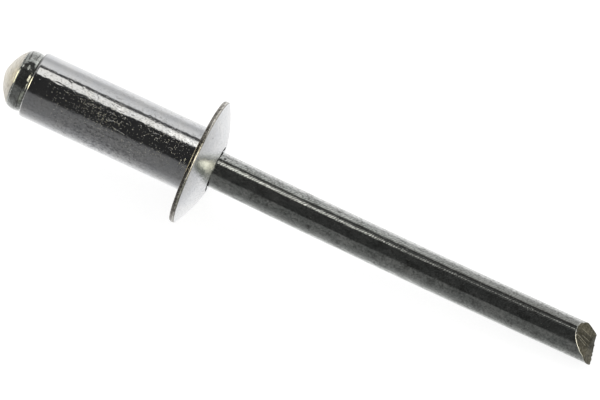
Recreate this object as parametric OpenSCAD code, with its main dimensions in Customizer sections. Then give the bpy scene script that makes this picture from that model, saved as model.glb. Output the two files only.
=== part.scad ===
// Blind rivet as it comes out of the box, with its mandrel in place. All sizes are in millimetres.
// The hollow body is one turned and headed piece: a shank with a domed flange. The mandrel is one headed
// wire: its head seats on the blind end, a pinched neck in the bore is where it will snap, and its long
// tail ends where the wire was nipped off. The rivet lies on the rim of its flange and the end of its tail.

/* [Body] */
// Diameter of the shank
shank_d = 4.8; // [4.4:0.1:5.6]
// Length of the shank from the seat under the flange to the blind end
shank_l = 12.7; // [6:0.1:25]
// Radius of the rounded edge at the blind end
end_round = 0.18; // [0.06:0.02:0.3]
// Radius of the fillet between the shank and the seat
seat_fillet = 0.1; // [0.04:0.02:0.3]
// Clearance between the bore and the mandrel, on the radius
bore_play = 0.09; // [0.04:0.01:0.14]

/* [Flange] */
// Diameter over the rim
flange_d = 9.2; // [8.4:0.1:10.2]
// Height from the seat to the flat ring at the top of the dome
flange_h = 1.4; // [1.1:0.05:1.9]
// Height of the rim, from the seat to the edge of the dome
rim_h = 0.34; // [0.24:0.02:0.44]
// Radius of the rim's bulging side
rim_round = 0.3; // [0.24:0.02:0.5]
// Width of the flat ring around the mandrel
crown_w = 0.28; // [0.1:0.02:0.5]

/* [Mandrel] */
// Diameter of the wire
wire_d = 2.66; // [2.4:0.02:2.9]
// Length of the tail from the top of the flange to the nipped end, along the axis
tail_l = 28.8; // [20:0.1:45]
// Distance from the side of the head in to the side of the shank
head_inset = 0.2; // [0.1:0.05:0.3]
// Length of the barrel side of the head
head_side_l = 1.05; // [0.8:0.05:1.3]
// Distance from the underside of the head to its widest circle
head_belly = 0.5; // [0.3:0.05:0.7]
// Radius of the curve of the barrel side
head_barrel = 1.2; // [1.1:0.1:2.5]
// Radius of the curve of the domed face
face_round = 3.4; // [3.4:0.1:6]
// Slope of the domed face at its edge, from square across the axis
face_slope = 47; // [47:1:60]

/* [Breaking neck] */
// Distance from the underside of the head to the middle of the neck
neck_depth = 1.9; // [1.4:0.1:3.5]
// Width of the square neck that the four pinches leave
neck_w = 1.56; // [1.3:0.02:1.7]
// Length of the flat floor of each pinch
neck_floor = 0.24; // [0.1:0.02:0.5]
// Slope of the sides of each pinch, from the axis
neck_slope = 40; // [30:5:60]

/* [Nipped end] */
// Lean of the upper and lower cut faces, from square across the wire
nip_lean = 46; // [30:1:55]
// Lean of the narrow torn face between them
torn_lean = 27; // [15:1:40]
// Distance from the torn face to the upper cut face, along the axis
upper_set = 0.09; // [0:0.01:0.2]
// Distance from the torn face to the lower cut face, along the axis
lower_set = 0.72; // [0.4:0.02:0.9]
// Direction of the upper cut face around the axis, from straight down
upper_turn = 170; // [150:1:210]
// Direction of the lower cut face around the axis, from straight down
lower_turn = 30; // [0:1:40]
// Lean of the small face that takes off the far corner, from square across the wire
corner_lean = 57; // [50:1:60]
// Distance from the torn face to the small corner face, along the axis
corner_set = 1.28; // [1.1:0.02:1.6]
// Direction of the small corner face around the axis, from straight down
corner_turn = 114; // [105:1:125]

/* [Hidden] */
$fn = 96;
shank_r = shank_d / 2;
wire_r = wire_d / 2;
bore_r = wire_r + bore_play;
crown_r = bore_r + crown_w;

// How far a cutter runs past what it cuts
past = 0.5;
// Radius of the plain core that fills the head's section, as a share of the radius of its edge
head_core_share = 0.75;
// How far past the edge of the domed face the barrel curve hands over to the block behind the face
face_lap = 0.1;
// Size of the block that cuts the tail off, in diameters of the wire
cut_block_share = 3;

// The rim bulges between the seat and the edge of the dome, and the dome is the sphere through that edge
// and the edge of the flat ring
rim_r = flange_d / 2 - rim_round;
rim_edge_r = rim_r + sqrt(pow(rim_round, 2) - pow(rim_h / 2, 2));
dome_gap = pow(rim_edge_r, 2) + pow(rim_h, 2) - pow(crown_r, 2) - pow(flange_h, 2);
dome_z = dome_gap / (2 * (rim_h - flange_h));
dome_r = norm([crown_r, flange_h - dome_z]);

// Head of the mandrel: a barrel side between the seat and the domed face, whose curve is centred a little
// past the axis, so that the dome is slightly pointed
head_r = shank_r - head_inset;
head_edge_r = head_r - head_barrel + sqrt(pow(head_barrel, 2) - pow(head_side_l - head_belly, 2));
face_offset = face_round * sin(face_slope) - head_edge_r;
face_drop = sqrt(pow(face_round, 2) - pow(face_offset, 2));
head_l = head_side_l + face_drop - face_round * cos(face_slope);

// Nipped end, and the tilt at which the rivet lies: the line from the lowest point of the tail to the
// round rim, which it touches from below
tail_z = flange_h + tail_l;
tail_low_z = tail_z + lower_set - wire_r * tan(nip_lean) * cos(lower_turn);
rim_run = tail_low_z - rim_h / 2;
rim_drop = rim_r - wire_r;
rest_tilt = atan2(rim_drop, rim_run) + asin(rim_round / norm([rim_run, rim_drop]));

// Puts the axis, on which each piece is drawn with its tail upwards, along the ground as the rivet lies
module lay_down() {
    rotate([0, 90 + rest_tilt, 0])
        children();
}

// Half of the shank's section, with its rounded edge at the blind end
module shank_section() {
    translate([bore_r, end_round - shank_l])
        square([shank_r - bore_r, shank_l - end_round + rim_h]);
    translate([bore_r, -shank_l])
        square([shank_r - end_round - bore_r, end_round]);
    translate([shank_r - end_round, end_round - shank_l])
        circle(r = end_round);
}

// Fillet in the corner between the shank and the seat
module fillet_section() {
    difference() {
        translate([shank_r, -seat_fillet])
            square([seat_fillet, seat_fillet]);
        translate([shank_r + seat_fillet, -seat_fillet])
            circle(r = seat_fillet);
    }
}

// Half of the flange's section: flat seat, bulging rim, dome and flat ring
module flange_section() {
    intersection() {
        translate([0, dome_z])
            circle(r = dome_r, $fn = 4 * $fn);
        translate([bore_r, 0])
            square([flange_d / 2, flange_h]);
        union() {
            translate([bore_r, 0])
                square([(rim_r + rim_edge_r) / 2 - bore_r, flange_h]);
            translate([rim_r, rim_h / 2])
                circle(r = rim_round);
        }
    }
}

module rivet_body() {
    color("gainsboro")
        lay_down()
            rotate_extrude() {
                shank_section();
                fillet_section();
                flange_section();
            }
}

// Half of the head's section, drawn from the blind end downwards
module head_section() {
    core_r = head_core_share * head_edge_r;
    intersection() {
        translate([-face_offset, face_drop - head_l])
            circle(r = face_round, $fn = 2 * $fn);
        translate([0, -head_l - past])
            square([head_r, head_l + past]);
        union() {
            translate([0, -head_l - past])
                square([core_r, head_l + past]);
            translate([head_r - head_barrel, -head_belly])
                circle(r = head_barrel);
            translate([0, -head_l - past])
                square([head_r, head_l + past - head_side_l - face_lap]);
        }
    }
}

// One of the four pinches that leave the square neck
module neck_pinch() {
    depth = wire_r + past - neck_w / 2;
    flare = depth * tan(90 - neck_slope);
    rotate([90, 0, 0])
        linear_extrude(height = wire_d + 2 * past, center = true)
            polygon([
                [neck_w / 2, -neck_floor / 2],
                [neck_w / 2 + depth, -neck_floor / 2 - flare],
                [neck_w / 2 + depth, neck_floor / 2 + flare],
                [neck_w / 2, neck_floor / 2]
            ]);
}

// Cuts the given piece off past a plane that crosses the axis at the given height and leans in the given
// direction around it
module cut_off(height, lean, turn) {
    reach = cut_block_share * wire_d;
    difference() {
        children();
        translate([0, 0, height])
            rotate([0, lean, turn])
                translate([-reach / 2, -reach / 2, 0])
                    cube(reach);
    }
}

// The wire with its nipped end
module wire() {
    cut_off(tail_z + corner_set, corner_lean, corner_turn)
        cut_off(tail_z + lower_set, nip_lean, lower_turn)
            cut_off(tail_z, torn_lean, upper_turn)
                cut_off(tail_z + upper_set, nip_lean, upper_turn)
                    translate([0, 0, -shank_l - head_belly])
                        cylinder(r = wire_r, h = shank_l + head_belly + tail_z + wire_d);
}

module mandrel() {
    color("slategray")
        lay_down() {
            translate([0, 0, -shank_l])
                rotate_extrude()
                    head_section();
            difference() {
                wire();
                translate([0, 0, neck_depth - shank_l])
                    for (turn = [0 : 90 : 270])
                        rotate([0, 0, turn])
                            neck_pinch();
            }
        }
}

rivet_body();
mandrel();
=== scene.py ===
import math

import bpy
import numpy as np
from mathutils import Matrix, Vector


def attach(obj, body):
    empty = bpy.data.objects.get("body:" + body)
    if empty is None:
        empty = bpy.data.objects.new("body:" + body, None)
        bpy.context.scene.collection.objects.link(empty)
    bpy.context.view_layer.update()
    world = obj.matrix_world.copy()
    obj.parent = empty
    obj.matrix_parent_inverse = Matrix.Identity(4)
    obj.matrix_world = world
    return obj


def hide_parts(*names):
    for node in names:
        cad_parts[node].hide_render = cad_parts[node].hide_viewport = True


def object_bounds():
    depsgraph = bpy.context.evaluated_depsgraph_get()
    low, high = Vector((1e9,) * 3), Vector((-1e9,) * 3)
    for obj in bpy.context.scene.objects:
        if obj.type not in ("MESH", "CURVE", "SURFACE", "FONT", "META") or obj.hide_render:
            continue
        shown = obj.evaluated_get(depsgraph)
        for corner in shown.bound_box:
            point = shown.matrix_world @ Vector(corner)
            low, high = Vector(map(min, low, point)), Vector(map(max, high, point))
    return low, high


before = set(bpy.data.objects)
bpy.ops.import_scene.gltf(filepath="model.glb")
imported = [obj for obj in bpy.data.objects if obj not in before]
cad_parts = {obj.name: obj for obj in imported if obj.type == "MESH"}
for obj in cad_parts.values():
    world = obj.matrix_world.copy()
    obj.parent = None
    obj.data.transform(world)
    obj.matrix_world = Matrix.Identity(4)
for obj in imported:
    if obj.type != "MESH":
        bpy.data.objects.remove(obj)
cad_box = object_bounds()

MM = 0.001
FULL_TURN = 2 * math.pi

# Sizes of the rivet in millimetres, as the solids have them
SHANK_R = 2.4
SHANK_L = 12.7
END_ROUND = 0.18
SEAT_FILLET = 0.1
BORE_R = 1.42
CROWN_R = 1.7
FLANGE_H = 1.4
RIM_H = 0.34
RIM_R = 4.3
RIM_ROUND = 0.3
RIM_EDGE_R = RIM_R + math.sqrt(RIM_ROUND**2 - (RIM_H / 2) ** 2)
DOME_Z = (RIM_EDGE_R**2 + RIM_H**2 - CROWN_R**2 - FLANGE_H**2) / (2 * (RIM_H - FLANGE_H))
DOME_R = math.hypot(CROWN_R, FLANGE_H - DOME_Z)
WIRE_R = 1.33
TAIL_Z = 30.2
HEAD_SIDE_L = 1.05
HEAD_BELLY = 0.5
HEAD_BARREL = 1.2
HEAD_R = 2.2
HEAD_EDGE_R = HEAD_R - HEAD_BARREL + math.sqrt(HEAD_BARREL**2 - (HEAD_SIDE_L - HEAD_BELLY) ** 2)
FACE_ROUND = 3.4
FACE_SLOPE = math.radians(47)
FACE_OFFSET = FACE_ROUND * math.sin(FACE_SLOPE) - HEAD_EDGE_R
FACE_DROP = math.sqrt(FACE_ROUND**2 - FACE_OFFSET**2)
HEAD_L = HEAD_SIDE_L + FACE_DROP - FACE_ROUND * math.cos(FACE_SLOPE)
HEAD_SEAT_R = HEAD_R - HEAD_BARREL + math.sqrt(HEAD_BARREL**2 - HEAD_BELLY**2)
NECK_Z = -SHANK_L + 1.9
NECK_HALF = 0.78
NECK_FLOOR = 0.12
NECK_SLOPE = math.radians(40)

# Cuts of the nipped end: height where the plane crosses the axis, lean, turn from straight down
NIP_LEAN = 46
UPPER_TURN = 170
LOWER_TURN = 30
LOWER_Z = TAIL_Z + 0.72
CUTS = [
    (TAIL_Z + 0.09, NIP_LEAN, UPPER_TURN), (TAIL_Z, 27, UPPER_TURN),
    (LOWER_Z, NIP_LEAN, LOWER_TURN), (TAIL_Z + 1.28, 57, 114),
]

# Tilt at which the rivet lies, on the rim of its flange and the lowest point of its tail
TAIL_LOW_Z = LOWER_Z - WIRE_R * math.tan(math.radians(NIP_LEAN)) * math.cos(math.radians(LOWER_TURN))
RIM_RUN = TAIL_LOW_Z - RIM_H / 2
RIM_DROP = RIM_R - WIRE_R
TILT = math.atan2(RIM_DROP, RIM_RUN) + math.asin(RIM_ROUND / math.hypot(RIM_RUN, RIM_DROP))
AXIS = Vector((math.cos(TILT), 0.0, -math.sin(TILT)))

# The rivet as the photo shows it: turn of the side that is seen, on the rivet's own axis, lean of the axis
# away from the viewer, and the directions along and across the tail in the picture
FRONT_TURN = math.radians(-154.9)
SEEN_LEAN = math.radians(5.6)
SEEN_ALONG = (
    -math.cos(FRONT_TURN) * math.sin(SEEN_LEAN),
    -math.sin(FRONT_TURN) * math.sin(SEEN_LEAN),
    math.cos(SEEN_LEAN),
)
SEEN_ACROSS = (-math.sin(FRONT_TURN), math.cos(FRONT_TURN), 0.0)


def to_row(points):
    """Points drawn on the rivet's axis, in millimetres, as points of the row frame in metres."""
    x, y, z = points[..., 0], points[..., 1], points[..., 2]
    c, s = math.cos(TILT), math.sin(TILT)
    return np.stack([z * c - x * s, y, -x * c - z * s], -1) * MM


def field(length, girth, along, around, seed, step=0.05):
    """Smooth random relief on the unrolled surface, with features of the given size along and around it."""
    rows, cols = max(8, int(length / step)), max(8, int(girth / step))
    noise = np.random.default_rng(seed).standard_normal((rows, cols))
    fr = np.fft.fftfreq(rows, step)[:, None]
    fc = np.fft.fftfreq(cols, step)[None, :]
    keep = np.exp(-2 * math.pi**2 * ((fr * along / 2) ** 2 + (fc * around / 2) ** 2))
    out = np.fft.ifft2(np.fft.fft2(noise) * keep).real
    return out / out.std()


def sample(relief, s, share):
    """The relief at distances s, as a share of its length, and at turns, as a share of the girth."""
    rows, cols = relief.shape
    a = np.clip(s, 0, 1) * (rows - 1)
    b = (share % 1.0) * cols
    a0, b0 = np.floor(a).astype(int), np.floor(b).astype(int)
    fa, fb = a - a0, b - b0
    a1, b1 = np.minimum(a0 + 1, rows - 1), (b0 + 1) % cols
    b0 = b0 % cols
    low = relief[a0, b0] * (1 - fb) + relief[a0, b1] * fb
    high = relief[a1, b0] * (1 - fb) + relief[a1, b1] * fb
    return low * (1 - fa) + high * fa


def dips(z, phi, radius, pits):
    """Round or oval dips, each by its height, turn in radians, half length, half width and depth."""
    out = np.zeros_like(z)
    for z0, turn, half_l, half_w, depth in pits:
        dz = (z - z0) / half_l
        da = (phi - turn + math.pi) % FULL_TURN - math.pi
        out -= depth * np.exp(-(dz**2 + (da * radius / half_w) ** 2))
    return out


def scatter(count, low, high, size, depth, seed, turns=(0, FULL_TURN), stretch=1.0):
    """Random pits for dips()."""
    rng = np.random.default_rng(seed)
    pits = []
    for _ in range(count):
        w = size * (0.5 + rng.random())
        z, turn = rng.uniform(low, high), rng.uniform(*turns)
        pits.append((z, turn, w * stretch, w, depth * (0.4 + rng.random())))
    return pits


def add_object(name, data):
    """A new object in the scene."""
    obj = bpy.data.objects.new(name, data)
    bpy.context.scene.collection.objects.link(obj)
    return obj


def build(name, rows, closed, pole_first=None, pole_last=None):
    """A mesh from rows of points around the axis, each an array of columns by 3."""
    grid = np.array(rows)
    count, cols = grid.shape[:2]
    verts = to_row(grid.reshape(-1, 3))
    index = np.arange(count * cols).reshape(count, cols)
    nxt = np.roll(index, -1, axis=1)
    faces = []
    for i in range(count if closed else count - 1):
        j = (i + 1) % count
        faces.append(np.stack([index[i], nxt[i], nxt[j], index[j]], -1))
    faces = [tuple(q) for q in np.concatenate(faces).tolist()]
    poles = []
    for pole, row, flip in ((pole_first, 0, True), (pole_last, count - 1, False)):
        if pole is not None:
            tip = len(verts) + len(poles)
            poles.append(to_row(np.array(pole, float)))
            for k in range(cols):
                a, b = int(index[row, k]), int(nxt[row, k])
                faces.append((b, a, tip) if flip else (a, b, tip))
    if poles:
        verts = np.concatenate([verts, np.array(poles)])
    mesh = bpy.data.meshes.new(name)
    mesh.from_pydata(verts.tolist(), [], faces)
    mesh.validate()
    mesh.polygons.foreach_set("use_smooth", [True] * len(mesh.polygons))
    mesh.update()
    return add_object(name, mesh)


def arc(cx, cz, radius, start, end, count):
    """Points r, z of an arc, angles in degrees."""
    a = np.radians(np.linspace(start, end, count))
    return np.stack([cx + radius * np.cos(a), cz + radius * np.sin(a)], -1)


def line(a, b, count):
    """Points r, z of a straight stretch, without its last point."""
    t = np.linspace(0, 1, count, endpoint=False)[:, None]
    return np.array(a) * (1 - t) + np.array(b) * t


def soften(profile, radius, corners):
    """Rounds an open profile at the given corners."""
    out = [profile[0]]
    for k in range(1, len(profile) - 1):
        p = profile[k]
        if any(math.hypot(p[0] - c[0], p[1] - c[1]) < 1e-6 for c in corners):
            a, b = profile[k - 1] - p, profile[k + 1] - p
            a, b = a / np.hypot(*a), b / np.hypot(*b)
            for t in np.linspace(-1, 1, 7):
                out.append(p + radius * ((1 - t) / 2) ** 2 * a + radius * ((1 + t) / 2) ** 2 * b)
        else:
            out.append(p)
    return np.array(out)


def normals_of(profile):
    """Outward normals of a profile that runs with the material on its left."""
    t = np.gradient(profile, axis=0)
    normals = np.stack([t[:, 1], -t[:, 0]], -1)
    return normals / np.linalg.norm(normals, axis=1)[:, None]


def turns_of(cols):
    """Turns of the columns of a mesh."""
    return np.arange(cols) / cols * FULL_TURN


def revolve(profile, cols, relief):
    """Rows of points around the axis, pushed out along the profile's normal by relief(r, z, phi)."""
    phi = turns_of(cols)
    rows = []
    for (r, z), (nr, nz) in zip(profile, normals_of(profile)):
        push = relief(r, z, phi)
        rr, zz = r + nr * push, z + nz * push
        rows.append(np.stack([rr * np.cos(phi), rr * np.sin(phi), zz], -1))
    return rows


# Rivet body. Its closed section starts and ends on the wall of the bore.
BODY_COLS = 300
SECTION_START = -6.0
SECTION_END = -5.0
BLIND_BREAK = 0.03
CROWN_BREAK = 0.04
RIM_HALF_ARC = 34.52
FLANGE_SOFT_EDGE = 0.035
dome_start = math.degrees(math.atan2(RIM_H - DOME_Z, RIM_EDGE_R))
dome_end = math.degrees(math.atan2(FLANGE_H - DOME_Z, CROWN_R))
body_profile = np.concatenate([
    line((BORE_R, SECTION_START), (BORE_R, -SHANK_L + BLIND_BREAK), 4),
    line((BORE_R, -SHANK_L + BLIND_BREAK), (BORE_R + BLIND_BREAK, -SHANK_L), 1),
    line((BORE_R + BLIND_BREAK, -SHANK_L), (SHANK_R - END_ROUND, -SHANK_L), 8),
    arc(SHANK_R - END_ROUND, -SHANK_L + END_ROUND, END_ROUND, -90, 0, 9)[:-1],
    line((SHANK_R, -SHANK_L + END_ROUND), (SHANK_R, -SEAT_FILLET), 210),
    arc(SHANK_R + SEAT_FILLET, -SEAT_FILLET, SEAT_FILLET, 180, 90, 6)[:-1],
    line((SHANK_R + SEAT_FILLET, 0), (RIM_EDGE_R, 0), 14),
    arc(RIM_R, RIM_H / 2, RIM_ROUND, -RIM_HALF_ARC, RIM_HALF_ARC, 11)[:-1],
    arc(0, DOME_Z, DOME_R, dome_start, dome_end, 44)[:-1],
    line((CROWN_R, FLANGE_H), (BORE_R + CROWN_BREAK, FLANGE_H), 4),
    line((BORE_R + CROWN_BREAK, FLANGE_H), (BORE_R, FLANGE_H - CROWN_BREAK), 1),
    line((BORE_R, FLANGE_H - CROWN_BREAK), (BORE_R, SECTION_END), 5),
    np.array([[BORE_R, SECTION_END]]),
])
body_profile = soften(body_profile, FLANGE_SOFT_EDGE, [(RIM_EDGE_R, 0), (CROWN_R, FLANGE_H)])

# Relief of the body: lengths and middle radii that it covers, and its heights
DOME_SPAN = 3.4
DOME_MIDDLE_R = 3.2
RIM_SPAN = 1.0
RIM_MIDDLE_R = 4.5
RIPPLE_H = 0.0007
SWELL_H = 0.0022
GRAIN_H = 0.0004
DOME_RIPPLE_H = 0.0010
RIM_RIPPLE_H = 0.0022
shank_girth = FULL_TURN * SHANK_R
ripple = field(SHANK_L, shank_girth, 0.5, 0.22, 11)
swell = field(SHANK_L, shank_girth, 2.6, 0.8, 12)
grain = field(SHANK_L, shank_girth, 0.12, 0.1, 13)
dome_ripple = field(DOME_SPAN, FULL_TURN * DOME_MIDDLE_R, 0.35, 0.5, 14)
rim_ripple = field(RIM_SPAN, FULL_TURN * RIM_MIDDLE_R, 0.2, 0.45, 15)
PITS_FROM, PITS_TO = -SHANK_L + 0.2, -0.1
body_pits = scatter(700, PITS_FROM, PITS_TO, 0.045, 0.006, 21)
body_pits += scatter(90, PITS_FROM, PITS_TO, 0.05, 0.0035, 24)
body_pits += scatter(60, PITS_FROM, PITS_TO, 0.045, 0.005, 22, stretch=4.0)
dome_pits = scatter(70, 0.35, 1.4, 0.05, 0.006, 23)


def body_relief(r, z, phi):
    """Relief of the shank, the dome and the rim, in millimetres. The bore and the seat stay plain."""
    near = 0.001
    share = phi / FULL_TURN
    heights = np.full_like(phi, z)
    if r > SHANK_R - near and -SHANK_L + END_ROUND - near <= z < -SEAT_FILLET + near:
        s = (heights + SHANK_L) / SHANK_L
        push = RIPPLE_H * sample(ripple, s, share) + SWELL_H * sample(swell, s, share)
        push += GRAIN_H * sample(grain, s, share)
        return push + dips(heights, phi, SHANK_R, body_pits)
    if z > RIM_H and r > CROWN_R:
        s = np.full_like(phi, (r - CROWN_R) / (RIM_EDGE_R - CROWN_R))
        return DOME_RIPPLE_H * sample(dome_ripple, s, share) + dips(heights, phi, r, dome_pits)
    if r > RIM_EDGE_R - 0.02:
        return RIM_RIPPLE_H * sample(rim_ripple, heights / RIM_H, share)
    return np.zeros_like(phi)


body = build("rivet_body_dressed", revolve(body_profile, BODY_COLS, body_relief), closed=True)

# Mandrel. Its head laps the blind end by a hair, and its face starts a small angle away from its pole.
WIRE_COLS = 216
SEAT_Z = -SHANK_L + 0.004
POLE_ANGLE = 0.8
HEAD_SOFT_EDGE = 0.10
NECK_REACH = 0.8
TAIL_FROM = 1.2
MARKED_FROM = 1.3
TOP_FROM = 27.0
TOP_ROWS = 50
EDGE_ROUND = 0.06
EDGE_RINGS = 4
CAP_RINGS = 30
face_start = -90 + math.degrees(math.asin(FACE_OFFSET / FACE_ROUND)) + POLE_ANGLE
barrel_start = -math.degrees(math.asin((HEAD_SIDE_L - HEAD_BELLY) / HEAD_BARREL))
barrel_end = math.degrees(math.asin(HEAD_BELLY / HEAD_BARREL))
head_profile = np.concatenate([
    arc(
        -FACE_OFFSET, -SHANK_L - HEAD_L + FACE_DROP, FACE_ROUND,
        face_start, -90 + math.degrees(FACE_SLOPE), 34,
    )[:-1],
    arc(HEAD_R - HEAD_BARREL, -SHANK_L - HEAD_BELLY, HEAD_BARREL, barrel_start, barrel_end, 26),
    line((HEAD_SEAT_R - 0.04, SEAT_Z), (WIRE_R, SEAT_Z), 5),
])
head_profile = soften(head_profile, HEAD_SOFT_EDGE, [(HEAD_EDGE_R, -SHANK_L - HEAD_SIDE_L)])
wire_profile = np.concatenate([
    line((WIRE_R, SEAT_Z), (WIRE_R, NECK_Z - NECK_REACH), 4),
    line((WIRE_R, NECK_Z - NECK_REACH), (WIRE_R, NECK_Z + NECK_REACH), 16),
    line((WIRE_R, NECK_Z + NECK_REACH), (WIRE_R, TAIL_FROM), 20),
    line((WIRE_R, TAIL_FROM), (WIRE_R, TOP_FROM), 250),
])

# Relief of the head, the wire and the nipped end: lengths that it covers, and its heights
HEAD_SPAN = 3.2
HEAD_MIDDLE_R = 2.0
WIRE_SPAN = 31.0
END_SPAN = 3.2
HEAD_STREAK_H = 0.0022
HEAD_LUMP_H = 0.0045
HEAD_GRAIN_H = 0.0008
DRAW_LINE_H = 0.0009
WIRE_SWELL_H = 0.0022
WIRE_GRAIN_H = 0.0004
TORN_H = 0.012
TORN_FINE_H = 0.005
head_girth = FULL_TURN * HEAD_MIDDLE_R
wire_girth = FULL_TURN * WIRE_R
head_streak = field(HEAD_SPAN, head_girth, 0.9, 0.13, 31)
head_lump = field(HEAD_SPAN, head_girth, 0.7, 0.5, 32)
head_grain = field(HEAD_SPAN, head_girth, 0.13, 0.13, 33)
draw_line = field(WIRE_SPAN, wire_girth, 3.0, 0.12, 34)
wire_swell = field(WIRE_SPAN, wire_girth, 3.5, 0.7, 35)
wire_grain = field(WIRE_SPAN, wire_girth, 0.12, 0.12, 36)
torn = field(END_SPAN, END_SPAN, 0.55, 0.07, 51, step=0.02)
torn_fine = field(END_SPAN, END_SPAN, 0.16, 0.05, 52, step=0.02)
wire_pits = scatter(150, 1.5, 30.0, 0.06, 0.003, 41)
# The rough side of the tail, where it was gripped and rolled, is the one turned down and towards the viewer
wire_pits += scatter(110, 2.0, 19.0, 0.12, 0.009, 42, turns=(-1.75, -0.75), stretch=1.8)
wire_pits += scatter(60, 2.0, 29.0, 0.1, 0.005, 43, turns=(1.6, 3.0), stretch=1.6)

# Single pits on the lower side of the tail: place along and across it in the picture, half length,
# half width and depth
SEEN_PITS = [
    (1.85, 0.86, 0.20, 0.13, 0.008), (3.05, 0.97, 0.36, 0.10, 0.010), (4.35, 0.80, 0.22, 0.13, 0.006),
    (5.65, 0.80, 0.30, 0.13, 0.005), (8.88, 0.87, 0.20, 0.14, 0.020), (11.22, 0.92, 0.22, 0.13, 0.022),
    (11.50, 1.14, 0.16, 0.08, 0.016), (13.15, 1.16, 0.14, 0.09, 0.018), (14.05, 1.10, 0.16, 0.10, 0.020),
    (14.45, 1.02, 0.12, 0.08, 0.016), (14.95, 0.98, 0.15, 0.10, 0.018), (20.75, 1.00, 0.20, 0.10, 0.018),
    (21.20, 1.15, 0.22, 0.08, 0.020), (19.00, 1.18, 0.16, 0.08, 0.016), (17.25, 0.75, 0.16, 0.10, 0.010),
    (24.10, 0.90, 0.16, 0.10, 0.010),
]


def on_wire(along, across):
    """Height and turn of the point of the wire that is seen at the given place along and across it."""
    from_front = math.asin(across / WIRE_R)
    height = (along + WIRE_R * math.cos(from_front) * math.sin(SEEN_LEAN)) / math.cos(SEEN_LEAN)
    return height, FRONT_TURN + from_front


wire_pits += [(*on_wire(along, across), *size) for along, across, *size in SEEN_PITS]


def head_relief(r, z, phi):
    """Forging streaks and lumps of the head, which fade out towards the axis, in millimetres."""
    if z >= -SHANK_L - 0.02:
        return np.zeros_like(phi)
    share = phi / FULL_TURN
    s = np.full_like(phi, (z + SHANK_L + HEAD_L) / HEAD_SPAN)
    fade = min(1.0, r / 1.2)
    push = HEAD_STREAK_H * sample(head_streak, s, share) * fade
    push += HEAD_LUMP_H * sample(head_lump, s, share) * fade
    return push + HEAD_GRAIN_H * sample(head_grain, s, share) * fade


def drawn_relief(z, phi):
    """Lines and slow swells left by drawing the wire, in millimetres."""
    s, share = z / WIRE_SPAN, phi / FULL_TURN
    return DRAW_LINE_H * sample(draw_line, s, share) + WIRE_SWELL_H * sample(wire_swell, s, share)


def wire_relief(r, z, phi):
    """The square neck in the bore and the surface of the tail, in millimetres."""
    if abs(z - NECK_Z) < NECK_REACH:
        half = NECK_HALF + max(0.0, abs(z - NECK_Z) - NECK_FLOOR) * math.tan(NECK_SLOPE)
        square = half / np.maximum(np.abs(np.cos(phi)), np.abs(np.sin(phi)))
        return np.minimum(square, WIRE_R) - WIRE_R
    if z > MARKED_FROM:
        heights = np.full_like(phi, z)
        push = drawn_relief(heights, phi)
        push += WIRE_GRAIN_H * sample(wire_grain, heights / WIRE_SPAN, phi / FULL_TURN)
        return push + dips(heights, phi, WIRE_R, wire_pits)
    return np.zeros_like(phi)


def end_height(x, y):
    """Height of the nipped end over a point of the section."""
    heights = []
    for height, lean, turn in CUTS:
        slope, way = math.tan(math.radians(lean)), math.radians(turn)
        heights.append(height - slope * (x * math.cos(way) + y * math.sin(way)))
    return np.min(heights, axis=0)


def end_relief(x, y):
    """Shear marks of the nipped end, in millimetres: ridges along one direction across it."""
    grain_way = math.radians(35)
    along = x * math.cos(grain_way) + y * math.sin(grain_way)
    across = -x * math.sin(grain_way) + y * math.cos(grain_way)
    u, v = along / END_SPAN + 0.5, across / END_SPAN + 0.5
    return TORN_H * sample(torn, u, v) + TORN_FINE_H * sample(torn_fine, u, v)


def end_rows(phi):
    """The last stretch of the tail, its rounded edge, and the rings that close the nipped end."""
    rows = []
    top = end_height(WIRE_R * np.cos(phi), WIRE_R * np.sin(phi)) - EDGE_ROUND
    for k in range(TOP_ROWS):
        t = k / (TOP_ROWS - 1)
        z = TOP_FROM + (top - TOP_FROM) * t
        r = WIRE_R + (drawn_relief(z, phi) + dips(z, phi, WIRE_R, wire_pits) * (1 - t))
        rows.append(np.stack([r * np.cos(phi), r * np.sin(phi), z], -1))
    for k in range(1, EDGE_RINGS + 1):
        a = k / EDGE_RINGS * math.pi / 2
        r = WIRE_R - EDGE_ROUND * (1 - math.cos(a))
        x, y = r * np.cos(phi), r * np.sin(phi)
        z = end_height(x, y) - EDGE_ROUND * (1 - math.sin(a)) + end_relief(x, y) * (k / EDGE_RINGS)
        rows.append(np.stack([x, y, z], -1))
    for k in range(1, CAP_RINGS):
        r = (WIRE_R - EDGE_ROUND) * (1 - k / CAP_RINGS)
        x, y = r * np.cos(phi), r * np.sin(phi)
        rows.append(np.stack([x, y, end_height(x, y) + end_relief(x, y)], -1))
    return rows


mandrel_rows = revolve(head_profile, WIRE_COLS, head_relief) + revolve(wire_profile, WIRE_COLS, wire_relief)
mandrel_rows = np.array(mandrel_rows + end_rows(turns_of(WIRE_COLS)))

# The tail is very slightly bowed between the flange and its end
BOW = 0.096
BOW_WAY = (0.4125, -0.911)
bow_share = np.clip((mandrel_rows[..., 2] - FLANGE_H) / (TAIL_Z - FLANGE_H), 0, 1)
for side, way in enumerate(BOW_WAY):
    mandrel_rows[..., side] += BOW * 4 * bow_share * (1 - bow_share) * way
on_axis = np.zeros(1)
pole_z = float((end_height(on_axis, on_axis) + end_relief(on_axis, on_axis))[0])
mandrel = build(
    "mandrel_dressed", mandrel_rows, closed=False,
    pole_first=(0, 0, -SHANK_L - HEAD_L), pole_last=(0, 0, pole_z),
)


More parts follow.
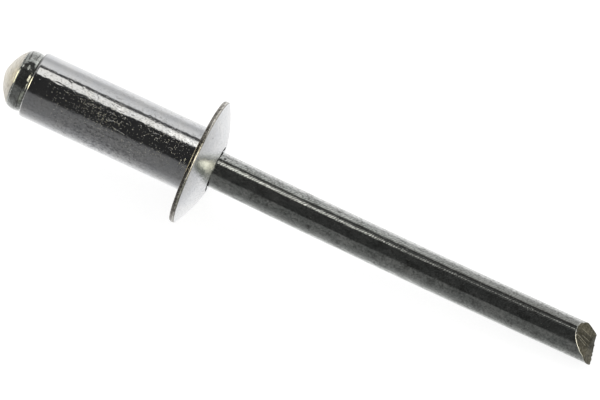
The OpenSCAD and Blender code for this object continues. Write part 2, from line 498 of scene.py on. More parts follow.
class Nodes:
    """A short way to write the node tree of a material or a world."""

    def __init__(self, owner):
        owner.use_nodes = True
        self.tree = owner.node_tree
        self.tree.nodes.clear()

    def give(self, socket, value):
        """Links the socket to another one, or sets its value."""
        if isinstance(value, bpy.types.NodeSocket):
            self.tree.links.new(value, socket)
        else:
            socket.default_value = value

    def add(self, kind, inputs=None, **settings):
        node = self.tree.nodes.new(kind)
        for key, value in settings.items():
            setattr(node, key, value)
        for key, value in (inputs or {}).items():
            self.give(node.inputs[key], value)
        return node

    def math(self, operation, a, b=0.0, c=0.0):
        return self.add("ShaderNodeMath", {0: a, 1: b, 2: c}, operation=operation).outputs[0]

    def fold(self, operation, values):
        total = values[0]
        for value in values[1:]:
            total = self.math(operation, total, value)
        return total

    def times(self, *values):
        return self.fold("MULTIPLY", values)

    def plus(self, *values):
        return self.fold("ADD", values)

    def most(self, *values):
        return self.fold("MAXIMUM", values)

    def over(self, value, limit):
        """1 above the limit and 0 below it."""
        return self.math("GREATER_THAN", value, limit)

    def under(self, value, limit):
        """1 below the limit and 0 above it."""
        return self.math("LESS_THAN", value, limit)

    def between(self, value, low, high):
        return self.times(self.over(value, low), self.under(value, high))

    def away(self, value, middle):
        """How far a value is from another one."""
        return self.math("ABSOLUTE", self.math("SUBTRACT", value, middle))

    def remap(self, value, low, high, to_low, to_high, smooth=False):
        kind = "SMOOTHSTEP" if smooth else "LINEAR"
        inputs = {0: value, 1: low, 2: high, 3: to_low, 4: to_high}
        return self.add("ShaderNodeMapRange", inputs, interpolation_type=kind).outputs[0]

    def vector(self, operation, a, b):
        return self.add("ShaderNodeVectorMath", {0: a, 1: b}, operation=operation)

    def scaled(self, vector, scale):
        return self.add("ShaderNodeVectorMath", {0: vector, "Scale": scale}, operation="SCALE").outputs[0]

    def dot(self, vector, direction):
        return self.vector("DOT_PRODUCT", vector, tuple(direction)).outputs["Value"]

    def mix(self, factor, a, b):
        node = self.add("ShaderNodeMix", {0: factor}, data_type="RGBA")
        self.give(node.inputs[6], a)
        self.give(node.inputs[7], b)
        return node.outputs[2]

    def noise(self, vector, scale, detail=2.0, roughness=0.5, distortion=0.0):
        """Noise with one scale, or with a scale for each direction."""
        if isinstance(scale, tuple):
            vector, scale = self.vector("MULTIPLY", vector, scale).outputs[0], 1.0
        inputs = {"Vector": vector, "Scale": scale, "Detail": detail}
        inputs |= {"Roughness": roughness, "Distortion": distortion}
        return self.add("ShaderNodeTexNoise", inputs).outputs["Fac"]

    def bump(self, height, distance):
        inputs = {"Height": height, "Strength": 1.0, "Distance": distance}
        return self.add("ShaderNodeBump", inputs).outputs[0]

    def metal(self, colour, rough, metallic=1.0, normal=None):
        inputs = {"Base Color": colour, "Metallic": metallic, "Roughness": rough}
        if normal is not None:
            inputs["Normal"] = normal
        return self.add("ShaderNodeBsdfPrincipled", inputs).outputs[0]

    def blend(self, factor, first, second):
        return self.add("ShaderNodeMixShader", {0: factor, 1: first, 2: second}).outputs[0]

    def output(self, shader, kind="ShaderNodeOutputMaterial"):
        self.add(kind, {"Surface": shader})


def rgb(r, g, b):
    return (r, g, b, 1.0)


def grey(value):
    return rgb(value, value, value)


def local_mm(n):
    """Coordinates on the rivet's own axis, in millimetres: Z along the axis, towards the tail."""
    where = n.add("ShaderNodeTexCoord").outputs["Object"]
    return n.add(
        "ShaderNodeMapping",
        {"Vector": where, "Rotation": (0.0, -(math.pi / 2 + TILT), 0.0), "Scale": (1000.0, 1000.0, 1000.0)},
        vector_type="POINT",
    ).outputs[0]


def turn_from_front(n, at):
    """Angle around the axis from the front, in radians."""
    ahead = n.dot(at, (math.cos(FRONT_TURN), math.sin(FRONT_TURN), 0.0))
    return n.math("ARCTAN2", n.dot(at, SEEN_ACROSS), ahead)


def specks(n, vector, scale, radius, chance):
    """Small scattered dents, 1 inside and 0 outside, by the scale of the cells, radius and share of cells."""
    bend_size, bend_scale = 0.35, 1.7
    bend = n.add("ShaderNodeTexNoise", {"Vector": vector, "Scale": scale * bend_scale, "Detail": 1.0})
    bend = n.vector("SUBTRACT", bend.outputs["Color"], (0.5, 0.5, 0.5)).outputs[0]
    bend = n.scaled(bend, bend_size / scale)
    where = n.vector("ADD", vector, bend).outputs[0]
    cells = n.add("ShaderNodeTexVoronoi", {"Vector": where, "Scale": scale}, feature="F1").outputs
    pick = n.add("ShaderNodeSeparateColor", {0: cells["Color"]}).outputs
    wide = n.times(n.remap(pick[1], 0.0, 1.0, 0.6, 1.2), radius)
    dent = n.remap(n.math("DIVIDE", cells["Distance"], wide), 0.35, 1.0, 1.0, 0.0, True)
    return n.times(dent, n.under(pick[0], chance))


def mark_at(n, at, point, radius):
    """A single mark around a point, 1 inside and 0 outside."""
    distance = n.vector("DISTANCE", at, point).outputs["Value"]
    return n.remap(distance, 0.5 * radius, radius, 1.0, 0.0, True)


def ring_scratch(n, z, turn, height, lean, start, end, width):
    """A hairline around part of the rivet: its height, lean per radian, first and last turn, and width."""
    fade = 0.06
    off = n.away(n.math("MULTIPLY_ADD", turn, -lean, z), height)
    near = n.remap(off, 0.4 * width, width, 1.0, 0.0, True)
    begun = n.remap(turn, start, start + fade, 0.0, 1.0)
    left = n.remap(turn, end - fade, end, 1.0, 0.0)
    return n.times(near, begun, left)


def long_scratch(n, z, turn, start, end, first_turn, lean):
    """A hairline along the shank: its first and last height, its turn at the first one and its lean."""
    middle = n.math("MULTIPLY_ADD", n.math("SUBTRACT", z, start), lean, first_turn)
    near = n.remap(n.away(turn, middle), 0.006, 0.016, 1.0, 0.0, True)
    return n.times(near, n.between(z, start, end))


def crease(n, at, start, end, width):
    """A fine straight crease, 1 on it and 0 off it, by its ends along and across the tail."""
    u, v = n.dot(at, SEEN_ALONG), n.dot(at, SEEN_ACROSS)
    length = math.hypot(end[0] - start[0], end[1] - start[1])
    du, dv = (end[0] - start[0]) / length, (end[1] - start[1]) / length
    run = n.plus(
        n.math("MULTIPLY_ADD", u, du, -start[0] * du),
        n.math("MULTIPLY_ADD", v, dv, -start[1] * dv),
    )
    off = n.plus(
        n.math("MULTIPLY_ADD", u, -dv, start[0] * dv),
        n.math("MULTIPLY_ADD", v, du, -start[1] * du),
    )
    near = n.remap(n.math("ABSOLUTE", off), 0.4 * width, width, 1.0, 0.0, True)
    return n.times(near, n.between(run, 0.0, length))


# Widths of the single scratches and creases, and height of the thin painted highlight line on the rim
SCRATCH_W = 0.036
CREASE_W = 0.026
RIM_HIGHLIGHT_Z = 0.24
# Depths of the fine relief that the materials add, in metres
BODY_BUMP = 0.000014
WIRE_BUMP = 0.00001
DOME_BUMP = 0.000012
TORN_BUMP = 0.000025
# Where the burr and the torn end begin along the tail, and the turn that the burr faces
BURR_FROM = 27.5
TORN_FROM = 20.0
BURR_TURN = math.radians(-118)
# Pits in the dome of the flange: middle and radius
DOME_PITS = [((-3.923, 0.226, 0.664), 0.085), ((-0.62, -3.3, 0.95), 0.06)]
# A painted dark pit and a painted glint on the wire beside the flange: middle, radius and colour
ROOT_PIT_SHADE_AND_GLINT = [((-1.253, 0.447, 1.79), 0.12, grey(0.01)), ((-1.20, -0.565, 1.70), 0.05, grey(1.0))]
# Single scratches beside the flange: height, lean per radian, first and last turn
RING_SCRATCHES = [(-0.60, 0.10, 0.02, 0.58), (-0.83, 0.06, 0.12, 0.46)]
# Single scratches along the shank: first and last height, turn at the first one, lean
LONG_SCRATCHES = [(-6.05, -5.15, 0.16, 0.055), (-6.6, -6.2, 0.02, -0.08)]
# Dark forging arcs on the side of the head: height, lean per radian, first and last turn, and width
FORGING_ARCS = [
    (-13.36, 0.14, -1.45, -0.66, 0.075), (-13.10, -0.10, -1.30, -0.75, 0.05),
    (-13.66, 0.05, -1.2, -0.3, 0.045), (-13.02, 0.03, 0.2, 1.2, 0.04),
]
# Creases of the torn face, by their ends along and across the tail in the picture, in millimetres
CREASES = [
    ((28.83, -0.30), (29.93, 0.15)), ((28.95, -0.79), (29.80, -0.54)), ((29.02, -0.10), (29.70, 0.20)),
    ((29.20, -0.36), (29.86, -0.16)),
]


def body_marks(n, at, z, turn, speck, worn):
    """Dents, scratches and single marks of the body, 1 inside and 0 outside."""
    small = n.times(specks(n, at, 15.0, 0.42, n.times(worn, 0.30)), 0.65)
    large = n.times(specks(n, at, 6.4, 0.24, n.times(worn, 0.17)), 0.9)
    # Hairline scratches in two directions, broken up
    hair = n.away(n.noise(at, (3.0, 3.0, 0.5), 1.0, 0.4, 0.6), 0.5)
    hair = n.times(n.remap(hair, 0.0, 0.012, 1.0, 0.0), n.remap(speck, 0.5, 0.6, 0.0, 1.0))
    ring = n.away(n.noise(at, (0.8, 0.8, 3.4), 1.0, 0.4, 0.8), 0.5)
    ring = n.times(n.remap(ring, 0.0, 0.012, 1.0, 0.0), n.remap(speck, 0.52, 0.62, 0.0, 1.0))
    hairlines = n.times(n.most(hair, ring), worn, 0.6)
    # Single scratches, long and thin, and two pits in the dome
    single = [ring_scratch(n, z, turn, *scratch, SCRATCH_W) for scratch in RING_SCRATCHES]
    single += [long_scratch(n, z, turn, *scratch) for scratch in LONG_SCRATCHES]
    single = n.times(n.most(*single), n.remap(n.noise(at, 14.0, 2.0, 0.6), 0.35, 0.55, 0.2, 1.0))
    pits = [mark_at(n, at, *pit) for pit in DOME_PITS]
    return n.most(small, large, hairlines, single, *pits)


def body_metal():
    """Bright worn metal, with painted shade and a painted highlight on the sheared blind end, a dull rim with
    a painted highlight line, and painted shade in the flat ring around the mandrel.
    """
    material = bpy.data.materials.new("body_metal_bright")
    n = Nodes(material)
    at = local_mm(n)
    xyz = n.add("ShaderNodeSeparateXYZ", {0: at}).outputs
    z = xyz["Z"]
    radius = n.math("SQRT", n.plus(n.math("POWER", xyz["X"], 2.0), n.math("POWER", xyz["Y"], 2.0)))
    turn = turn_from_front(n, at)
    cloud = n.noise(at, 0.9, 3.0, 0.55)
    speck = n.noise(at, 7.0, 3.0, 0.65)
    above_rim = n.over(z, RIM_H)
    on_rim = n.remap(radius, RIM_EDGE_R - 0.03, RIM_EDGE_R + 0.01, 0.0, 1.0)
    # Handling marks are dense in patches and towards the flange
    patches = n.noise(n.vector("MULTIPLY", at, (1.0, 1.0, 0.7)).outputs[0], 0.7, 2.0, 0.5)
    worn = n.times(
        n.remap(patches, 0.4, 0.62, 0.35, 1.0),
        n.remap(z, -11.0, -7.0, 0.22, 1.0),
        n.remap(z, 0.1, 0.4, 1.0, 0.35),
    )
    marks = body_marks(n, at, z, turn, speck, worn)
    tint = n.mix(n.remap(cloud, 0.35, 0.65, 0.0, 1.0), rgb(0.74, 0.75, 0.77), grey(0.80))
    dull = n.remap(n.noise(at, 3.8, 3.0, 0.65), 0.46, 0.36, 0.0, 0.7)
    tint = n.mix(n.times(dull, worn), tint, grey(0.55))
    # Dark and light flecks on the lower side of the shank, most of them near its middle
    flecks = n.times(
        n.remap(turn, 0.22, 0.42, 0.0, 1.0),
        n.under(z, 0.0),
        n.remap(n.away(z, -6.6), 1.2, 4.0, 1.0, 0.3),
    )
    flecked = n.noise(at, (5.6, 5.6, 4.2), 3.0, 0.72, 0.4)
    dark_flecks = n.times(flecks, n.remap(flecked, 0.49, 0.38, 0.0, 0.72, True))
    light_flecks = n.times(flecks, n.remap(flecked, 0.54, 0.64, 0.0, 0.7, True))
    tint = n.mix(dark_flecks, tint, rgb(0.30, 0.30, 0.31))
    tint = n.mix(light_flecks, tint, grey(1.0))
    colour = n.mix(n.times(marks, n.remap(turn, -0.62, -0.25, 0.85, 0.58)), tint, rgb(0.33, 0.34, 0.37))
    # Painted light on the sheared blind end: painted shade on its upper side and a broken painted highlight
    # on its lower side
    at_end = n.remap(z, -SHANK_L + 0.05, -SHANK_L + 0.15, 1.0, 0.0)
    lower_end_highlight = n.times(n.remap(turn, -0.45, -0.2, 0.0, 1.0), n.remap(speck, 0.40, 0.52, 0.1, 1.0))
    end_painted_light = n.mix(lower_end_highlight, rgb(0.16, 0.16, 0.155), rgb(1.0, 1.0, 0.98))
    colour = n.mix(at_end, colour, end_painted_light)
    grainy = n.times(
        above_rim,
        n.remap(n.noise(at, 8.0, 3.0, 0.75), 0.50, 0.36, 0.0, 0.62),
        n.remap(radius, 1.9, 2.7, 0.3, 1.0),
    )
    colour = n.mix(grainy, colour, rgb(0.51, 0.52, 0.54))
    # The rim is dull and brownish, with a thin painted highlight line around it
    rim_colour = n.mix(n.remap(speck, 0.4, 0.62, 0.0, 1.0), rgb(0.16, 0.15, 0.13), rgb(0.46, 0.43, 0.39))
    hatch = n.noise(at, (5.0, 5.0, 9.0), 2.0, 0.6)
    rim_highlight = n.remap(n.away(z, RIM_HIGHLIGHT_Z), 0.03, 0.07, 1.0, 0.0)
    rim_highlight = n.times(rim_highlight, n.remap(hatch, 0.42, 0.56, 0.1, 0.85))
    rim_colour = n.mix(rim_highlight, rim_colour, rgb(0.85, 0.83, 0.78))
    colour = n.mix(on_rim, colour, rim_colour)
    rough = n.plus(n.remap(cloud, 0.3, 0.7, 0.05, 0.10), n.times(marks, 0.26), n.times(on_rim, 0.16))
    # Turning marks and an uneven surface on the dome
    across_dome = {0: n.times(radius, 16.0), 1: n.times(xyz["X"], 0.5), 2: n.times(xyz["Y"], 0.5)}
    turned = n.noise(n.add("ShaderNodeCombineXYZ", across_dome).outputs[0], 1.0, 2.0, 0.6)
    on_dome = n.times(above_rim, n.over(radius, CROWN_R))
    uneven = n.times(n.noise(at, 4.8, 4.0, 0.72), n.remap(radius, 1.75, 3.1, 5.4, 0.6))
    height = n.plus(
        n.times(n.noise(at, (9.0, 9.0, 0.8), 3.0, 0.6), 0.12),
        n.times(speck, 0.15),
        n.times(n.noise(at, 3.2, 2.0, 0.6), n.times(worn, 0.40)),
        n.times(turned, on_dome, 0.30),
        n.times(uneven, on_dome),
    )
    normal = n.bump(n.math("SUBTRACT", height, marks), BODY_BUMP)
    # Painted shade in the gap around the wire: the flat ring around the mandrel is painted black on both
    # sides of the wire, and broken in front of it
    on_ring = n.times(n.over(z, FLANGE_H - 0.8), n.under(radius, CROWN_R - 0.005))
    beside = n.remap(n.math("ABSOLUTE", n.math("SINE", turn)), 0.60, 0.80, 0.0, 1.0)
    dark = n.most(beside, n.remap(speck, 0.42, 0.56, 0.0, 0.85))
    dark = n.times(dark, n.over(n.math("COSINE", turn), 0.0))
    painted_gap_shade = n.add("ShaderNodeBsdfDiffuse", {"Color": grey(0.03)}).outputs[0]
    n.output(n.blend(n.times(on_ring, dark), n.metal(colour, rough, normal=normal), painted_gap_shade))
    return material


def wire_shader(n, at, z, turn):
    """Plated wire: drawing marks, grit, pits with painted shade, forging arcs, a paler lower side, a darker
    upper end with a stripe of painted shade, and painted highlights along its edges.
    """
    streak = n.noise(at, (12.0, 12.0, 0.5), 3.0, 0.6)
    speck = n.noise(at, 8.0, 3.0, 0.65)
    cloud = n.noise(at, (1.4, 1.4, 0.6), 3.0, 0.6)
    patch = n.noise(at, (1.6, 1.6, 0.9), 4.0, 0.68, 0.3)
    grit = n.noise(at, 6.5, 3.0, 0.7)
    on_tail = n.over(z, 0.0)
    worn = n.times(n.remap(n.noise(at, 0.6, 2.0, 0.5), 0.42, 0.6, 0.2, 1.0), 0.12)
    small = n.times(specks(n, at, 10.0, 0.4, worn), 0.7)
    large_at = n.vector("MULTIPLY", at, (1.0, 1.0, 0.6)).outputs[0]
    large = n.times(specks(n, large_at, 3.6, 0.32, worn), 0.8)
    marks = n.most(small, large)
    tint = n.mix(n.remap(cloud, 0.35, 0.65, 0.0, 1.0), rgb(0.42, 0.445, 0.425), rgb(0.52, 0.535, 0.51))
    tint = n.mix(n.remap(patch, 0.47, 0.40, 0.0, 0.60, True), tint, rgb(0.24, 0.245, 0.23))
    tint = n.mix(n.remap(patch, 0.54, 0.62, 0.0, 0.55, True), tint, rgb(0.70, 0.71, 0.68))
    # Drawing marks run around the wire on a slant
    wobble = n.times(n.noise(at, 1.5, 2.0, 0.5), 14.0)
    helix = n.math("SINE", n.plus(n.math("MULTIPLY_ADD", z, 34.0, n.times(turn, 30.0)), wobble))
    drawn = n.times(
        n.remap(n.away(turn, -0.48), 0.16, 0.40, 1.0, 0.28),
        n.remap(turn, -0.10, 0.05, 1.0, 0.15),
        on_tail,
    )
    tint = n.mix(n.times(n.remap(helix, 0.0, 1.0, 0.0, 0.60), drawn), tint, rgb(0.14, 0.14, 0.125))
    tint = n.mix(n.times(n.remap(helix, -1.0, -0.2, 0.40, 0.0), drawn), tint, rgb(0.95, 0.95, 0.92))
    tint = n.mix(n.remap(grit, 0.48, 0.37, 0.0, 0.62, True), tint, rgb(0.17, 0.17, 0.16))
    tint = n.mix(n.remap(grit, 0.54, 0.64, 0.0, 0.45, True), tint, rgb(0.76, 0.77, 0.74))
    # The single pits are dents in the mesh, and painted shade darkens them, the deeper the darker
    for along, across, _, half_w, depth in SEEN_PITS:
        height, way = on_wire(along, across)
        middle = (WIRE_R * math.cos(way), WIRE_R * math.sin(way), height)
        pit = n.times(mark_at(n, at, middle, 1.7 * half_w), n.remap(grit, 0.40, 0.60, 1.0, 0.35))
        tint = n.mix(n.times(pit, min(1.0, depth / 0.021)), tint, rgb(0.05, 0.05, 0.045))
    # Painted shade of a small pit, and a painted glint, on the wire beside the flange
    for middle, radius, colour in ROOT_PIT_SHADE_AND_GLINT:
        tint = n.mix(mark_at(n, at, middle, radius), tint, colour)
    for forged in FORGING_ARCS:
        arc_mark = n.times(ring_scratch(n, z, turn, *forged), n.remap(speck, 0.38, 0.52, 0.4, 1.0))
        tint = n.mix(n.times(arc_mark, 0.85), tint, rgb(0.05, 0.05, 0.045))
    # The last stretch of the upper side is painted darker, and a stripe of painted shade runs along below it,
    # darker towards the tip
    darker_upper_end = n.times(n.remap(z, 15.0, 24.5, 0.0, 0.62), n.remap(turn, -0.70, -0.55, 1.0, 0.0))
    tint = n.mix(darker_upper_end, tint, rgb(0.17, 0.17, 0.155))
    painted_shade_stripe = n.times(n.remap(n.away(turn, -0.57), 0.05, 0.13, 0.45, 0.0), n.remap(z, 8.0, 24.0, 0.8, 1.5))
    tint = n.mix(painted_shade_stripe, tint, rgb(0.16, 0.16, 0.145))
    # The lower side is paler, except close to the nipped end
    paler = n.times(n.remap(turn, 0.62, 0.80, 0.0, 0.30), n.remap(z, 20.0, 25.0, 1.0, 0.2), on_tail)
    tint = n.mix(paler, tint, rgb(0.86, 0.88, 0.86))
    colour = n.mix(n.times(marks, 0.6), tint, rgb(0.14, 0.14, 0.125))
    # Painted highlights: light edges above and below, and a painted sheen where the surface is seen at a
    # grazing angle
    grazing_sheen = n.math("POWER", n.add("ShaderNodeLayerWeight", {"Blend": 0.5}).outputs["Facing"], 5.0)
    upper_edge_highlight = n.times(
        n.remap(turn, -0.70, -1.15, 0.0, 0.66),
        n.remap(grit, 0.38, 0.54, 0.15, 1.0),
        n.remap(z, -SHANK_L - 0.1, -SHANK_L, 0.4, 1.0),
    )
    lower_edge_highlight = n.times(n.remap(turn, 1.05, 1.35, 0.0, 0.7), n.remap(grit, 0.50, 0.58, 0.0, 1.0))
    colour = n.mix(n.most(grazing_sheen, upper_edge_highlight, lower_edge_highlight), colour, grey(0.95))
    rough = n.plus(n.remap(cloud, 0.3, 0.7, 0.045, 0.085), n.times(marks, 0.3))
    height = n.plus(
        n.times(streak, 0.22),
        n.times(speck, 0.13),
        n.times(helix, n.remap(cloud, 0.4, 0.6, 0.03, 0.08)),
        n.times(patch, 0.35),
    )
    # The dark side that faces the viewer is smoother
    calm = n.remap(n.away(turn, 0.05), 0.25, 0.45, 0.25, 1.0)
    height = n.math("SUBTRACT", height, n.times(marks, calm))
    height = n.times(height, n.remap(z, 15.0, 22.0, 1.0, 0.55))
    return n.metal(colour, rough, 0.965, n.bump(height, WIRE_BUMP))


def dome_shader(n, at):
    """The forged dome of the head: matt and striated, and painted pale cream, far paler than the wire's
    steel, as painted light.
    """
    forged = n.noise(at, (5.0, 2.0, 5.0), 4.0, 0.65)
    striae = n.noise(at, (2.2, 2.2, 13.0), 3.0, 0.65, 0.4)
    # Painted light: the pale cream stands in for the light the matt dome catches; the dark striae are forging
    # marks
    colour = n.mix(n.remap(forged, 0.35, 0.65, 0.0, 1.0), rgb(0.76, 0.72, 0.64), rgb(0.92, 0.89, 0.82))
    colour = n.mix(n.remap(striae, 0.48, 0.36, 0.0, 0.55), colour, rgb(0.42, 0.39, 0.33))
    return n.metal(colour, 0.42, normal=n.bump(forged, DOME_BUMP))


def torn_shader(n, at):
    """The nipped end: raw, dark and torn, with a faint net and a few fine creases."""
    torn_noise = n.noise(at, (7.0, 3.0, 7.0), 4.0, 0.7)
    colour = n.mix(n.remap(torn_noise, 0.3, 0.7, 0.0, 1.0), rgb(0.04, 0.038, 0.026), rgb(0.19, 0.175, 0.13))
    threads = []
    for way, scale in (((0.55, 0.835, 0.0), 30.0), ((-0.94, 0.34, 0.1), 34.0)):
        wave = n.math("SINE", n.math("MULTIPLY_ADD", n.dot(at, way), scale, n.times(torn_noise, 16.0)))
        threads.append(n.remap(wave, 0.72, 1.0, 0.0, 1.0))
    net = n.times(n.most(*threads), n.remap(n.noise(at, 1.7, 2.0, 0.5), 0.42, 0.6, 0.1, 1.0))
    colour = n.mix(n.times(net, 0.35), colour, rgb(0.36, 0.335, 0.265))
    off_middle = n.away(n.dot(at, SEEN_ACROSS), -0.15)
    colour = n.mix(n.remap(off_middle, 0.15, 0.75, 0.65, 0.0, True), colour, rgb(0.028, 0.027, 0.02))
    for start, end in CREASES:
        mark = n.times(crease(n, at, start, end, CREASE_W), n.remap(torn_noise, 0.38, 0.55, 0.1, 0.75))
        colour = n.mix(mark, colour, rgb(0.42, 0.395, 0.31))
    return n.metal(colour, 0.5, normal=n.bump(n.plus(torn_noise, n.times(net, 0.35)), TORN_BUMP))


def mandrel_steel():
    """Plated steel, with the domed face, the burr and the torn end told apart by their slope."""
    material = bpy.data.materials.new("mandrel_steel_plated")
    n = Nodes(material)
    at = local_mm(n)
    z = n.add("ShaderNodeSeparateXYZ", {0: at}).outputs["Z"]
    shader = wire_shader(n, at, z, turn_from_front(n, at))
    facing = n.dot(n.add("ShaderNodeNewGeometry").outputs["True Normal"], AXIS)
    is_dome = n.times(n.remap(facing, -0.66, -0.6, 1.0, 0.0), n.under(z, -SHANK_L - 1.0))
    shader = n.blend(is_dome, shader, dome_shader(n, at))
    # The burr is a lip of the cut in the mesh; its near side is painted almost white, a painted highlight
    near_side = n.dot(at, (math.cos(BURR_TURN), math.sin(BURR_TURN), 0.0))
    is_burr = n.times(n.remap(facing, 0.06, 0.12, 0.0, 1.0), n.over(z, BURR_FROM))
    is_burr = n.times(is_burr, n.remap(near_side, 0.60, 0.85, 0.0, 1.0))
    shader = n.blend(is_burr, shader, n.metal(rgb(0.93, 0.92, 0.88), 0.36))
    is_end = n.times(n.remap(facing, 0.44, 0.5, 0.0, 1.0), n.over(z, TORN_FROM))
    n.output(n.blend(is_end, shader, torn_shader(n, at)))
    return material


body.data.materials.append(body_metal())
mandrel.data.materials.append(mandrel_steel())
for piece, node, slot in ((body, "rivet_body", "body_metal"), (mandrel, "mandrel", "mandrel_steel")):
    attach(piece, "root")
    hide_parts(node)

# Direction from the rivet to the viewer, and the directions around the axis towards and beside the viewer
ELEVATION = math.radians(62.27)
AZIMUTH = math.radians(-65.11)
BACK = Vector((
    math.cos(ELEVATION) * math.cos(AZIMUTH),
    math.cos(ELEVATION) * math.sin(AZIMUTH),
    math.sin(ELEVATION),
))
FRONT = (BACK - AXIS * BACK.dot(AXIS)).normalized()
SIDE = AXIS.cross(FRONT)
if SIDE.z > 0:
    SIDE = -SIDE


def around_axis(angle):
    """Direction square to the axis, at an angle in radians from the viewer's side."""
    return FRONT * math.cos(angle) + SIDE * math.sin(angle)


def add_floor():
    """Floor: pale, keeps the rivet's soft shadow, and shows white to the camera."""
    half, z = 1.5, cad_box[0][2]
    corners = [(-half, -half, z), (half, -half, z), (half, half, z), (-half, half, z)]
    mesh = bpy.data.meshes.new("floor")
    mesh.from_pydata(corners, [], [(0, 1, 2, 3)])
    paint = bpy.data.materials.new("floor_pale")
    n = Nodes(paint)
    to_camera = n.add("ShaderNodeLightPath").outputs["Is Camera Ray"]
    pale = n.add("ShaderNodeBsdfDiffuse", {"Color": grey(0.36)}).outputs[0]
    lift = n.add("ShaderNodeEmission", {"Color": grey(1.0), "Strength": n.times(to_camera, 0.80)})
    n.output(n.add("ShaderNodeAddShader", {0: pale, 1: lift.outputs[0]}).outputs[0])
    mesh.materials.append(paint)
    obj = add_object("floor", mesh)
    obj.visible_glossy = False
    return obj


floor = add_floor()

# Brightness of the studio around the rivet, by the angle from the camera's side in degrees
AROUND = [
    (-180, 1.0), (-150, 1.0), (-128, 0.85), (-116, 0.56), (-106, 0.52), (-97, 0.62), (-88, 0.70),
    (-76, 0.78), (-72.5, 0.07), (-64.5, 0.07), (-60, 0.08), (-39, 0.07), (-33, 0.023), (25, 0.023),
    (33, 0.14), (88, 0.185), (100, 0.27), (120, 0.40), (135, 0.66), (150, 0.86), (165, 1.0), (180, 1.0),
]
# Round soft lights of the studio: angles along and around the axis, radius and soft edge in degrees, colour
ROUND_LIGHTS = [
    (38, -98, 24, 14, rgb(1.15, 1.15, 1.13)),
    (38, 78, 22, 18, rgb(0.36, 0.37, 0.33)),
    (45, -20, 13, 3, rgb(2.1, 2.02, 1.72)),
    (46, 4, 13, 3, rgb(2.1, 2.02, 1.72)),
    (42, 24, 10, 5, rgb(1.9, 1.83, 1.55)),
    (26, -21, 5, 4, rgb(2.2, 2.05, 1.6)),
    (25, -6, 5, 4, rgb(2.2, 2.05, 1.6)),
    (-74, 3, 13, 4, rgb(3.0, 2.75, 1.9)),
]


def add_world():
    """World: white to the camera, plain for matt surfaces, and the studio for metal."""
    world = bpy.data.worlds.new("studio")
    bpy.context.scene.world = world
    n = Nodes(world)
    way = n.add("ShaderNodeTexCoord").outputs["Generated"]
    along = n.dot(way, AXIS)
    turn = n.math("ARCTAN2", n.dot(way, SIDE), n.dot(way, FRONT))
    ramp = n.add("ShaderNodeValToRGB", {0: n.math("MULTIPLY_ADD", turn, 1 / FULL_TURN, 0.5)})
    stops = ramp.color_ramp.elements
    for k, (angle, value) in enumerate(AROUND):
        position = angle / 360 + 0.5
        stop = stops[k] if k < 2 else stops.new(position)
        stop.position = position
        stop.color = grey(value)
    around = n.scaled(ramp.outputs[0], n.remap(along, 0.5, 0.92, 1.0, 0.62))
    to_ends = n.remap(n.math("ABSOLUTE", along), 0.84, 0.97, 0.0, 1.0, True)
    ends = n.mix(n.over(along, 0.0), rgb(0.34, 0.34, 0.33), rgb(0.62, 0.62, 0.60))
    studio = n.mix(to_ends, around, ends)
    for latitude, angle, radius, edge, colour in ROUND_LIGHTS:
        lat = math.radians(latitude)
        centre = AXIS * math.sin(lat) + around_axis(math.radians(angle)) * math.cos(lat)
        inner, outer = math.cos(math.radians(radius)), math.cos(math.radians(radius + edge))
        studio = n.mix(n.remap(n.dot(way, centre), outer, inner, 0.0, 1.0, True), studio, colour)
    ray = n.add("ShaderNodeLightPath").outputs
    plain = n.mix(ray["Is Glossy Ray"], grey(0.75), studio)
    seen = n.mix(ray["Is Camera Ray"], plain, grey(1.0))
    background = n.add("ShaderNodeBackground", {"Color": seen, "Strength": 1.0}).outputs[0]
    n.output(background, "ShaderNodeOutputWorld")


add_world()

# Soft strip light above and behind, seen by metal only: place along the axis in millimetres, first and last
# angle around the axis in degrees, and brightness
STRIP_R = 250.0
STRIP_FACES = 6
STRIP = [
    (-320, -60, -50, 0.3), (-285, -61, -50, 1.5), (-215, -61, -50, 1.5), (-190, -60, -48, 0.10),
    (-66, -60, -45, 0.10), (-54, -62, -39, 0.95), (-24.8, -62, -39, 1.0), (-23.5, -58, -37.5, 2.2),
    (-19.7, -53.5, -38.5, 2.0), (-16.2, -51.5, -40, 1.15), (-12.7, -50.5, -41.5, 0.6),
    (-8.6, -49, -42, 0.36), (-4.4, -47.5, -43, 0.33), (-0.2, -47, -44, 0.48),
    (2.6, -48.2, -45.8, 0.65), (60, -48.2, -45.8, 0.65),
]


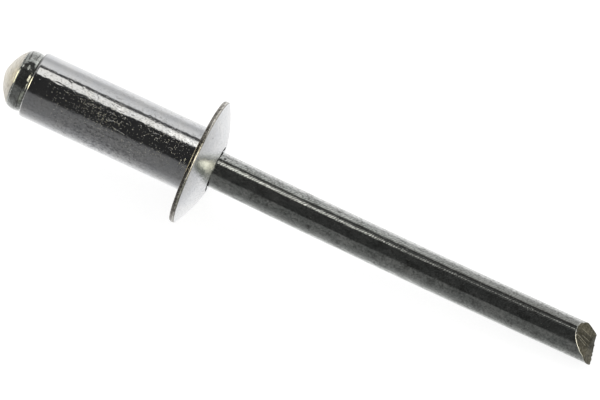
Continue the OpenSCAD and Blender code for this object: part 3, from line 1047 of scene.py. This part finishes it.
def add_strip():
    """The strip light, a mesh whose brightness is a value at each of its points."""
    verts, values, faces = [], [], []
    for along, start, end, value in STRIP:
        for k in range(STRIP_FACES + 1):
            angle = math.radians(start + (end - start) * k / STRIP_FACES)
            verts.append(tuple((AXIS * along + around_axis(angle) * STRIP_R) * MM))
            values.append(value)
    step = STRIP_FACES + 1
    for i in range(len(STRIP) - 1):
        for k in range(STRIP_FACES):
            a = i * step + k
            faces.append((a, a + 1, a + 1 + step, a + step))
    mesh = bpy.data.meshes.new("strip_light")
    mesh.from_pydata(verts, [], faces)
    mesh.attributes.new("level", "FLOAT", "POINT").data.foreach_set("value", values)
    glow = bpy.data.materials.new("strip_glow")
    n = Nodes(glow)
    level = n.add("ShaderNodeAttribute", attribute_name="level").outputs["Fac"]
    n.output(n.add("ShaderNodeEmission", {"Color": rgb(1.0, 0.985, 0.94), "Strength": level}).outputs[0])
    mesh.materials.append(glow)
    obj = add_object("strip_light", mesh)
    obj.visible_camera = False
    obj.visible_diffuse = False
    obj.visible_shadow = False
    return obj


strip = add_strip()

# Key lamp for the soft shadow, turned to the frame's origin
lamp = bpy.data.lights.new("key", "AREA")
lamp.shape = "DISK"
lamp.size = 0.35
lamp.energy = 1.1
key = add_object("key", lamp)
key.location = Vector((-0.05, 0.25, 0.55))
key.rotation_euler = (-key.location).to_track_quat("-Z", "Y").to_euler()
key.visible_glossy = False

# Camera, at the photograph's viewing angle: size of the picture in pixels, pixels to the millimetre,
# distance and the point it aims at in millimetres, and where that point lies in the picture
WIDTH, HEIGHT = 600, 400
SCALE = 14.4228
DISTANCE = 800.0
AIM = AXIS * 8.0
AIM_PX = (301.56, 209.52)
SENSOR = 36.0
right = Vector((0, 0, 1)).cross(BACK).normalized()
up = BACK.cross(right)
camera_data = bpy.data.cameras.new("camera")
camera_data.lens = SCALE * DISTANCE * SENSOR / WIDTH
camera_data.sensor_width = SENSOR
camera = add_object("camera", camera_data)
shift = up * ((AIM_PX[1] - HEIGHT / 2) / SCALE) - right * ((AIM_PX[0] - WIDTH / 2) / SCALE)
turned = Matrix((right, up, BACK)).transposed().to_4x4()
camera.matrix_world = Matrix.Translation((AIM + BACK * DISTANCE + shift) * MM) @ turned
bpy.context.scene.camera = camera
bpy.context.scene.view_settings.view_transform = "Standard"
